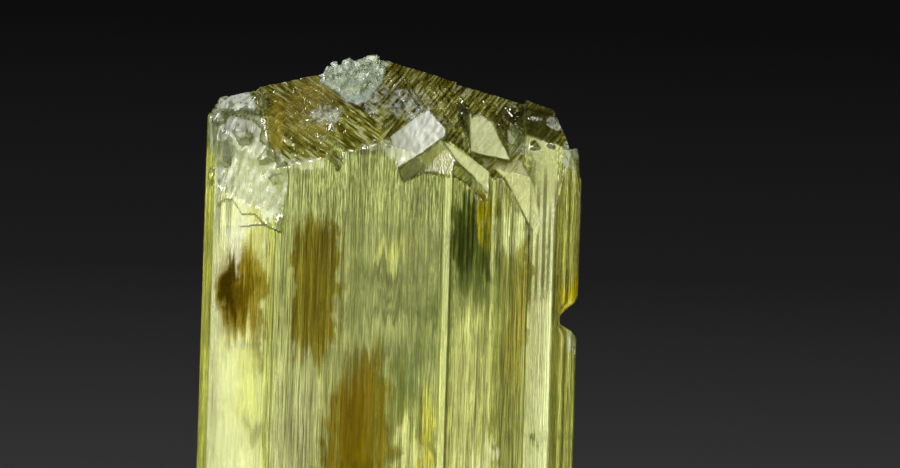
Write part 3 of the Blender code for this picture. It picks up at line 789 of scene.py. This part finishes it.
# drips: the same painted highlight and shade lines, short, under the etched top
DRIPS = ((0.1, 0.9, 2.0, 5.0), dict(low=0.4, high=0.6, darkest=0.5, lightest=1.5))
DRIP_LEVELS = (61.0, 68.0)
MOTTLE = ((2.6, 1.1, 3.0, 7.0, 6.0), dict(low=0.36, high=0.64, darkest=0.6, lightest=1.3))
HAZE = (1.6, 56.5, 8.6, 6.0, 2.0, 0.6)
DOME = (-2.4, 42.0, 3.2, 11.0, 2.2, 0.3)
WEAKER = 0.45


def streaks_and_painted_light_of(nodes, place):
    """All the streaks of the prism as one factor: growth lines, with painted highlight and shade
    lines.
    """
    level = add(nodes, "ShaderNodeSeparateXYZ", {0: place}).outputs["Z"]
    cells, tones = DRIPS
    drips = shaded_streaks(nodes, place, *cells, **tones)
    grain = blended(nodes, ranged(nodes, level, *DRIP_LEVELS), 1.0, drips)
    for cells, tones in STREAKS_WITH_PAINTED_LIGHT:
        grain = maths(nodes, "MULTIPLY", grain, shaded_streaks(nodes, place, *cells, **tones))
    return grain


def prism_colour(nodes, group, place):
    wisps = wisped(nodes, place)
    colour, streaky = panelled(nodes, group, place)
    colour = zoned(nodes, group, wisps, colour, ZONES)
    haze = masked(nodes, group, wisps, *HAZE)
    for calmer in (haze, masked(nodes, group, wisps, *DOME)):
        streaky = blended(nodes, calmer, streaky, WEAKER)
    grained = mixed(nodes, 1.0, colour, streaks_and_painted_light_of(nodes, place), "MULTIPLY")
    colour = mixed(nodes, streaky, colour, grained)
    cells, tones = MOTTLE
    mottle = blended(nodes, haze, 1.0, shaded_streaks(nodes, wisps, *cells, **tones))
    colour = mixed(nodes, 1.0, colour, mottle, "MULTIPLY")
    return zoned(nodes, group, place, colour, LINES)


print("layers of streaks:", len(STREAKS_WITH_PAINTED_LIGHT) + 1)

# %% [markdown]
# ## Colour of the roofs
# The two roofs of the top carry a slanting hatch, one way on the left and another on the right. It
# is made of the same streaks on a turned place. Low hatch is dark olive, high hatch is golden, and
# its highest lines carry a painted glint, a pale highlight laid into the colour.

# %% Colour of the roofs
LEFT_HATCH = 55.0
RIGHT_HATCH = 143.0
HATCH_DEEP = 12.0
ROOF_DARK = (0.06, 0.048, 0.004)
ROOF_LIGHT = (0.37, 0.33, 0.03)
# painted highlight: the glint colour of the highest hatch lines
ROOF_PAINTED_GLINT = (0.80, 0.82, 0.52)
PAINTED_GLINT_SHARE = 0.8


def turned_place(nodes, place, degrees):
    """The place turned about Y, which looks into the front, for slanting streaks."""
    return add(nodes, "ShaderNodeVectorRotate",
               {"Vector": place, "Angle": math.radians(degrees)},
               rotation_type="Y_AXIS").outputs["Vector"]


def hatch_of(nodes, place):
    """Slanting streaks from 0 to 1: one way on the left of the top, another on its right."""
    left = streaks(nodes, turned_place(nodes, place, LEFT_HATCH), 0.24, 1.5, 4.0, 0.0, HATCH_DEEP)
    right = streaks(nodes, turned_place(nodes, place, RIGHT_HATCH), 0.26, 2.2, 4.0, 0.0, HATCH_DEEP)
    return blended(nodes, attribute(nodes, "right roof"), left, right)


def roof_colour(nodes, group, place, hatch):
    colour = mixed(nodes, ranged(nodes, hatch, 0.4, 0.56), ROOF_DARK, ROOF_LIGHT)
    # the highest hatch lines get a painted glint
    colour = mixed(nodes, ranged(nodes, hatch, 0.545, 0.62, 0.0, PAINTED_GLINT_SHARE), colour, ROOF_PAINTED_GLINT)
    return zoned(nodes, group, place, colour, ROOF_ZONES)


print("hatch leans, degrees:", LEFT_HATCH, RIGHT_HATCH)

# %% [markdown]
# ## Frost and toned facets
# Frost is patchy: the soft mask from the points is added to a fine noise, and only where the sum is
# high does the surface turn white and rough. The toned facets, with their painted highlights and
# painted shade, come last, and are shaded a little by the hatch, so that they aren't flat.

# %% Frost and toned facets
FROST_TINT = (0.84, 0.89, 0.82)
FROST_FROM, FROST_TO = 0.95, 1.25
FACET_SHADE = dict(low=0.38, high=0.58, to_low=0.82, to_high=1.12)


def frost_of(nodes, place):
    """How frosty the surface is, from 0 to 1."""
    sugar = streaks(nodes, place, 0.45, 1.2, 5.0)
    patchy = maths(nodes, "ADD", attribute(nodes, "frost"), sugar)
    return ranged(nodes, patchy, FROST_FROM, FROST_TO)


# lays the facet tones, painted highlights and painted shade among them, over the colour
def with_facet_tones_and_painted_light(nodes, colour, hatch):
    tone = add(nodes, "ShaderNodeAttribute", attribute_name="facet tone and painted light").outputs
    shade = ranged(nodes, hatch, **FACET_SHADE)
    toned = mixed(nodes, 1.0, tone["Color"], shade, "MULTIPLY")
    return mixed(nodes, tone["Alpha"], colour, toned)


print("frost sets in at a sum of", FROST_FROM)

# %% [markdown]
# ## The clear material
# Values that are the same all over the crystal sit on the shader itself: its index of refraction,
# how much light passes, and the absorption of the body, which takes mostly blue. Some of the light
# is scattered at the surface instead, so that the tints show also where only dark lies behind.

# %% Material of the crystal
SPODUMENE_IOR = 1.66
LIGHT_PASSED = 0.82
BODY_COLOUR = (0.87, 0.925, 0.28, 1.0)
BODY_DENSITY = 80.0
CLEAR_ROUGHNESS = 0.05
FROST_ROUGHNESS = 0.42
FINE_BUMP = 0.06 * MM
BUMP_STRENGTH = 0.7


def crystal_material():
    material = bpy.data.materials.new("clear yellow-green spodumene")
    material.use_nodes = True
    nodes = material.node_tree
    shader = nodes.nodes["Principled BSDF"]
    shader.inputs["IOR"].default_value = SPODUMENE_IOR
    shader.inputs["Transmission Weight"].default_value = LIGHT_PASSED
    place = in_millimetres(nodes)
    on_roof = attribute(nodes, "roof")
    hatch = hatch_of(nodes, place)
    colour = mixed(nodes, on_roof, prism_colour(nodes, colour_and_light_patch, place),
                   roof_colour(nodes, colour_and_light_patch, place, hatch))
    frosty = frost_of(nodes, place)
    colour = with_facet_tones_and_painted_light(nodes, mixed(nodes, frosty, colour, FROST_TINT), hatch)
    link(nodes, colour, shader.inputs["Base Color"])
    rough = ranged(nodes, frosty, 0.0, 1.0, CLEAR_ROUGHNESS, FROST_ROUGHNESS)
    link(nodes, rough, shader.inputs["Roughness"])
    lines = blended(nodes, on_roof, streaks(nodes, place, 0.12, 6.0), hatch)
    bump = add(nodes, "ShaderNodeBump",
               {"Height": lines, "Distance": FINE_BUMP, "Strength": BUMP_STRENGTH})
    link(nodes, bump.outputs["Normal"], shader.inputs["Normal"])
    body = nodes.nodes.new("ShaderNodeVolumeAbsorption")
    body.inputs["Color"].default_value = BODY_COLOUR
    body.inputs["Density"].default_value = BODY_DENSITY
    link(nodes, body.outputs["Volume"], nodes.nodes["Material Output"].inputs["Volume"])
    print("nodes of", material.name + ":", len(nodes.nodes))
    return material


crystal.data.materials.append(crystal_material())

# %% [markdown]
# ## Fine relief by rule
# Striations, hatch and frost all follow a rule, so a Geometry Nodes tree makes them. Bump in the
# material alone would leave the outline of the top smooth. The tree moves each point of the skin a
# little way in, by noise that is stretched along the growth direction: upright on the prism and the
# frost, and slanting on the two roofs. Its depths and its seed are inputs.

# %% Geometry Nodes tree for the relief
NOISE_FLOOR = 0.35  # noise below this leaves a point where it is
FOOT = 0.5 * MM     # below this level points keep their height, so that the foot stays flat


def relief_tree(material):
    group = bpy.data.node_groups.new("striations hatch and frost", "GeometryNodeTree")
    sockets = group.interface
    sockets.new_socket("Geometry", in_out="INPUT", socket_type="NodeSocketGeometry")
    for title in ("Rib Depth", "Hatch Depth", "Frost Depth", "Seed"):
        sockets.new_socket(title, in_out="INPUT", socket_type="NodeSocketFloat")
    sockets.new_socket("Geometry", in_out="OUTPUT", socket_type="NodeSocketGeometry")
    given = group.nodes.new("NodeGroupInput").outputs
    place = add(group, "GeometryNodeInputPosition").outputs["Position"]

    def product(*values):
        total = values[0]
        for value in values[1:]:
            total = maths(group, "MULTIPLY", total, value)
        return total

    def rest_of(share):
        return maths(group, "SUBTRACT", 1.0, share)

    def stored(title, kind="FLOAT"):
        node = add(group, "GeometryNodeInputNamedAttribute", {"Name": title}, data_type=kind)
        return node.outputs["Attribute"]

    def grain(across, along, degrees=0.0, detail=2.0, deep=None):
        """Noise whose cells are long in one direction of the front; sizes in millimetres."""
        turned = turned_place(group, place, degrees)
        scale = (1.0 / (across * MM), 1.0 / ((deep or across) * MM), 1.0 / (along * MM))
        stretched = add(group, "ShaderNodeVectorMath", {0: turned, 1: scale}, operation="MULTIPLY")
        noise = add(group, "ShaderNodeTexNoise",
                    {"Vector": stretched.outputs[0], "W": given["Seed"], "Scale": 1.0,
                     "Detail": detail}, noise_dimensions="4D")
        return maths(group, "SUBTRACT", noise.outputs[0], NOISE_FLOOR)

    ribs = maths(group, "ADD", product(grain(0.34, 16.0), 0.7), grain(1.0, 45.0))
    left_hatch = grain(0.6, 4.0, LEFT_HATCH, deep=HATCH_DEEP)
    right_hatch = grain(0.6, 5.0, RIGHT_HATCH, deep=HATCH_DEEP)
    hatch = maths(group, "ADD", product(right_hatch, stored("right roof")),
                  product(left_hatch, rest_of(stored("right roof"))))
    sugar = grain(0.45, 1.2, detail=3.0)
    on_prism = product(ribs, given["Rib Depth"], rest_of(stored("roof")), rest_of(stored("calm")))
    on_roof = product(hatch, given["Hatch Depth"], stored("roof"))
    on_frost = product(sugar, given["Frost Depth"], maths(group, "POWER", stored("frost"), 3.0))
    depth = maths(group, "ADD", maths(group, "ADD", on_prism, on_roof), on_frost)
    push = add(group, "ShaderNodeVectorMath",
               {0: stored("inward", "FLOAT_VECTOR"), "Scale": maths(group, "MAXIMUM", depth, 0.0)},
               operation="SCALE").outputs[0]
    push = add(group, "ShaderNodeSeparateXYZ", {0: push}).outputs
    level = add(group, "ShaderNodeSeparateXYZ", {0: place}).outputs["Z"]
    above_foot = maths(group, "GREATER_THAN", level, FOOT)
    kept = add(group, "ShaderNodeCombineXYZ",
               {"X": push["X"], "Y": push["Y"], "Z": product(push["Z"], above_foot)})
    moved = add(group, "GeometryNodeSetPosition",
                {"Geometry": given["Geometry"], "Offset": kept.outputs["Vector"]})
    real = add(group, "GeometryNodeRealizeInstances", {"Geometry": moved.outputs[0]})
    dressed = add(group, "GeometryNodeSetMaterial",
                  {"Geometry": real.outputs[0], "Material": material})
    link(group, dressed.outputs[0], group.nodes.new("NodeGroupOutput").inputs[0])
    return group


relief = relief_tree(crystal.data.materials[0])
print("nodes of the relief tree:", len(relief.nodes))

# %% [markdown]
# ## Running the tree
# The tree's inputs are set by their identifiers before the piece is evaluated. The evaluated piece
# then becomes its plain mesh, and the modifier goes. Faces that meet at a clear angle keep a sharp
# edge, so that plates and blades still look cut.

# %% Carved skin
RELIEF = {"Rib Depth": 0.06 * MM, "Hatch Depth": 0.34 * MM, "Frost Depth": 0.5 * MM, "Seed": 4.0}
SHARP_ANGLE = 38.0


def carve(thing, group, values):
    """Runs the tree on a piece with the given inputs and keeps the result as its plain mesh."""
    step = thing.modifiers.new(group.name, "NODES")
    step.node_group = group
    for item in group.interface.items_tree:
        if item.in_out == "INPUT" and item.name in values:
            step[item.identifier] = values[item.name]
    seen = thing.evaluated_get(bpy.context.evaluated_depsgraph_get())
    result = bpy.data.meshes.new_from_object(seen)
    thing.modifiers.remove(step)
    thing.data = result


carve(crystal, relief, RELIEF)
crystal.data.shade_smooth()
crystal.data.set_sharp_from_angle(angle=math.radians(SHARP_ANGLE))
triangles = sum(len(polygon.vertices) - 2 for polygon in crystal.data.polygons)
print("triangles of the skin:", triangles)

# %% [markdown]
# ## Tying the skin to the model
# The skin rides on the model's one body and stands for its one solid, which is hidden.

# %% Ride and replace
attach(crystal, "root")
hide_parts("crystal")
print(crystal.name, "rides on root and stands for the solid crystal")

# %% [markdown]
# ## Floor
# The crystal stands on its cut foot, on a small round floor of plain, pale, matt paint. It is no
# brighter than it has to be, because clear crystal shows the floor behind and under it.

# %% Floor
FLOOR_PAINT = (0.22, 0.22, 0.215, 1)
FLOOR_ROUGHNESS = 0.8


def pale_floor(radius):
    mesh = bpy.data.meshes.new("floor")
    bm = bmesh.new()
    bmesh.ops.create_circle(bm, cap_ends=True, segments=96, radius=radius)
    bm.to_mesh(mesh)
    bm.free()
    floor = bpy.data.objects.new("floor", mesh)
    bpy.context.scene.collection.objects.link(floor)
    paint = bpy.data.materials.new("pale matt floor")
    paint.use_nodes = True
    shader = paint.node_tree.nodes["Principled BSDF"]
    shader.inputs["Base Color"].default_value = FLOOR_PAINT
    shader.inputs["Roughness"].default_value = FLOOR_ROUGHNESS
    mesh.materials.append(paint)
    print("floor radius, metres:", radius)
    return floor


pale_floor(0.32)

# %% [markdown]
# ## Backdrop
# The crystal is shown before a dark backdrop that grows a little lighter towards the bottom. A
# large plain card behind it could do that, but would have to be lit evenly, so the backdrop is a
# soft ramp in the surroundings, by height.

# %% Backdrop
RISE_LOW, RISE_HIGH = -0.075, 0.055
BACKDROP = [
    # share of the rise, colour
    (0.0, (0.036, 0.036, 0.037, 1.0)),
    (0.5, (0.012, 0.012, 0.0125, 1.0)),
    (1.0, (0.0042, 0.0042, 0.0044, 1.0)),
]


def dark_backdrop():
    world = bpy.data.worlds.new("dark backdrop")
    world.use_nodes = True
    nodes = world.node_tree
    way = add(nodes, "ShaderNodeTexCoord").outputs["Generated"]
    rise = add(nodes, "ShaderNodeSeparateXYZ", {0: way}).outputs["Z"]
    ramp = add(nodes, "ShaderNodeValToRGB", {"Fac": ranged(nodes, rise, RISE_LOW, RISE_HIGH)})
    stops = ramp.color_ramp.elements
    stops.new(BACKDROP[1][0])
    for stop, (_share, colour) in zip(stops, BACKDROP):
        stop.color = colour
    link(nodes, ramp.outputs["Color"], nodes.nodes["Background"].inputs["Color"])
    bpy.context.scene.world = world


dark_backdrop()
print("backdrop, bottom and top:", BACKDROP[0][1][0], BACKDROP[-1][1][0])

# %% [markdown]
# ## Light
# Soft panels stand round the crystal. Those at the back are what is seen through it, so they give
# the clear body its brightness; the front and top ones light the frost and the tints. The camera
# sees none of them. A broad panel mirrored in the roofs would turn them grey, so the matt top panel
# isn't mirrored, and a very weak one gives the roofs their sheen.

# %% Soft panels
PANELS = {
    # name: (place in metres, width, height, watts)
    "front left panel": ((-0.42, -0.50, 0.42), 0.34, 0.34, 8.6),
    "front right panel": ((0.50, -0.34, 0.24), 0.22, 0.34, 0.9),
    "matt top panel": ((-0.20, -0.05, 0.55), 0.50, 0.50, 2.6),
    "sheen top panel": ((-0.05, 0.10, 0.60), 0.50, 0.50, 0.012),
    "glint panel": ((-0.36, 0.12, 0.48), 0.10, 0.10, 1.0),
    "low back panel": ((0.00, 0.24, 0.09), 0.30, 0.17, 0.13),
    "back left panel": ((-0.30, 0.42, 0.14), 0.26, 0.34, 0.36),
    "back right panel": ((0.34, 0.40, 0.12), 0.22, 0.34, 0.56),
    "back panel": ((0.00, 0.50, 0.09), 0.34, 0.34, 0.12),
}
TARGET = Vector((0.0, 0.0, 0.06))
NEVER_MIRRORED = ("back", "low", "matt")
ONLY_MIRRORED = "sheen"


def soft_panel(name, place, width, height, watts):
    lamp = bpy.data.lights.new(name, "AREA")
    lamp.shape = "RECTANGLE"
    lamp.size = width
    lamp.size_y = height
    lamp.energy = watts
    thing = bpy.data.objects.new(name, lamp)
    thing.location = place
    thing.rotation_euler = (TARGET - Vector(place)).to_track_quat("-Z", "Y").to_euler()
    thing.visible_camera = False
    thing.visible_glossy = not name.startswith(NEVER_MIRRORED)
    thing.visible_diffuse = not name.startswith(ONLY_MIRRORED)
    bpy.context.scene.collection.objects.link(thing)


for title, (place, width, height, watts) in PANELS.items():
    soft_panel(title, place, width, height, watts)
all_watts = sum(row[-1] for row in PANELS.values())
print("soft panels:", len(PANELS), "with watts in all:", round(all_watts, 2))

# %% [markdown]
# ## Camera
# The picture is 900 by 468 points, and one point is a tenth of a millimetre on the crystal. The
# camera looks level at the upper half of the crystal through a long lens, so that it sees no top
# or side of the prism, and is rolled a little, because the crystal leans by 1.8 degrees in the
# picture. The plain view transform keeps the colours as they are lit.

# %% Camera
LENS = 150.0
SENSOR = 36.0
PICTURE_WIDTH = 0.090
LOOK_AT = Vector((0.00581, -0.004, 0.06434))
ROLL = math.radians(1.8)


def level_camera():
    data = bpy.data.cameras.new("camera")
    data.lens = LENS
    data.sensor_width = SENSOR
    data.clip_start = 0.01
    camera = bpy.data.objects.new("camera", data)
    distance = PICTURE_WIDTH * LENS / SENSOR
    upright = Matrix.Rotation(math.radians(90), 4, "X") @ Matrix.Rotation(ROLL, 4, "Z")
    camera.matrix_world = Matrix.Translation(LOOK_AT + Vector((0, -distance, 0))) @ upright
    bpy.context.scene.collection.objects.link(camera)
    bpy.context.scene.camera = camera


level_camera()
bpy.context.scene.view_settings.view_transform = "Standard"
print("camera to crystal, metres:", PICTURE_WIDTH * LENS / SENSOR)
